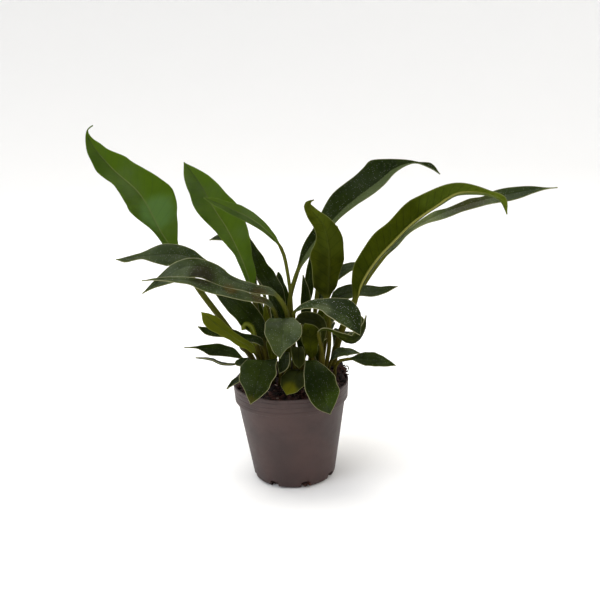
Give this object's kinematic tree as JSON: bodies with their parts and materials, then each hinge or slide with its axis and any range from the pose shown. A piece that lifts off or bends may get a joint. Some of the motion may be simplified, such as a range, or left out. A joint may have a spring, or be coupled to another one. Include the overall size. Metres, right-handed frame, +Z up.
{
  "type": "potted microgramma lycopodioides fern",
  "caption": "Small fern with long-stalked strap fronds and short spoon-shaped fronds, growing in bark and peat in a tapered plastic nursery pot.",
  "frame": {"origin": "centre of the pot's flat underside", "axes": "+Z up along the pot's axis, +X to the right along the widest spread of the fronds, -Y towards the viewer of the front"},
  "size_m": [0.3011, 0.1447, 0.2326],
  "materials": {
    "frond_green": "satin",
    "frond_young": "satin",
    "pot_plastic": "matte",
    "soil": "matte"
  },
  "bodies": {
    "root": {"pot": "pot_plastic", "potting_mix": "soil", "frond_left_tall_1": "frond_green", "frond_left_tall_2": "frond_green", "frond_left_arch": "frond_green", "frond_left_droop_1": "frond_green", "frond_left_droop_2": "frond_green", "frond_left_droop_3": "frond_green", "frond_left_inner": "frond_green", "frond_left_low_1": "frond_green", "frond_left_low_2": "frond_green", "frond_left_low_3": "frond_green", "frond_left_low_4": "frond_green", "frond_left_low_5": "frond_green", "young_frond_1": "frond_young", "young_frond_2": "frond_young", "crozier": "frond_young", "frond_middle_1": "frond_green", "frond_middle_2": "frond_green", "frond_middle_3": "frond_green", "frond_middle_4": "frond_green", "frond_middle_5": "frond_green", "frond_middle_6": "frond_green", "frond_middle_7": "frond_green", "frond_middle_8": "frond_green", "frond_middle_9": "frond_green", "frond_middle_10": "frond_green", "frond_middle_11": "frond_green", "frond_middle_12": "frond_green", "frond_middle_13": "frond_green", "frond_right_tall": "frond_green", "frond_right_upright": "frond_green", "frond_right_arch_1": "frond_green", "frond_right_arch_2": "frond_green", "frond_right_low_1": "frond_green", "frond_right_low_2": "frond_green", "frond_right_low_3": "frond_green", "frond_right_low_4": "frond_green", "frond_front_1": "frond_green", "frond_front_2": "frond_green", "frond_front_3": "frond_green", "frond_front_4": "frond_green", "frond_front_5": "frond_green", "frond_front_6": "frond_green", "frond_front_7": "frond_green", "frond_front_8": "frond_green", "frond_front_9": "frond_green", "frond_front_10": "frond_green", "frond_back_1": "frond_green", "frond_back_2": "frond_green", "frond_back_3": "frond_green", "frond_back_4": "frond_green", "frond_back_5": "frond_green", "frond_back_6": "frond_green", "frond_back_7": "frond_green", "frond_back_8": "frond_green"}
  },
  "joints": []
}
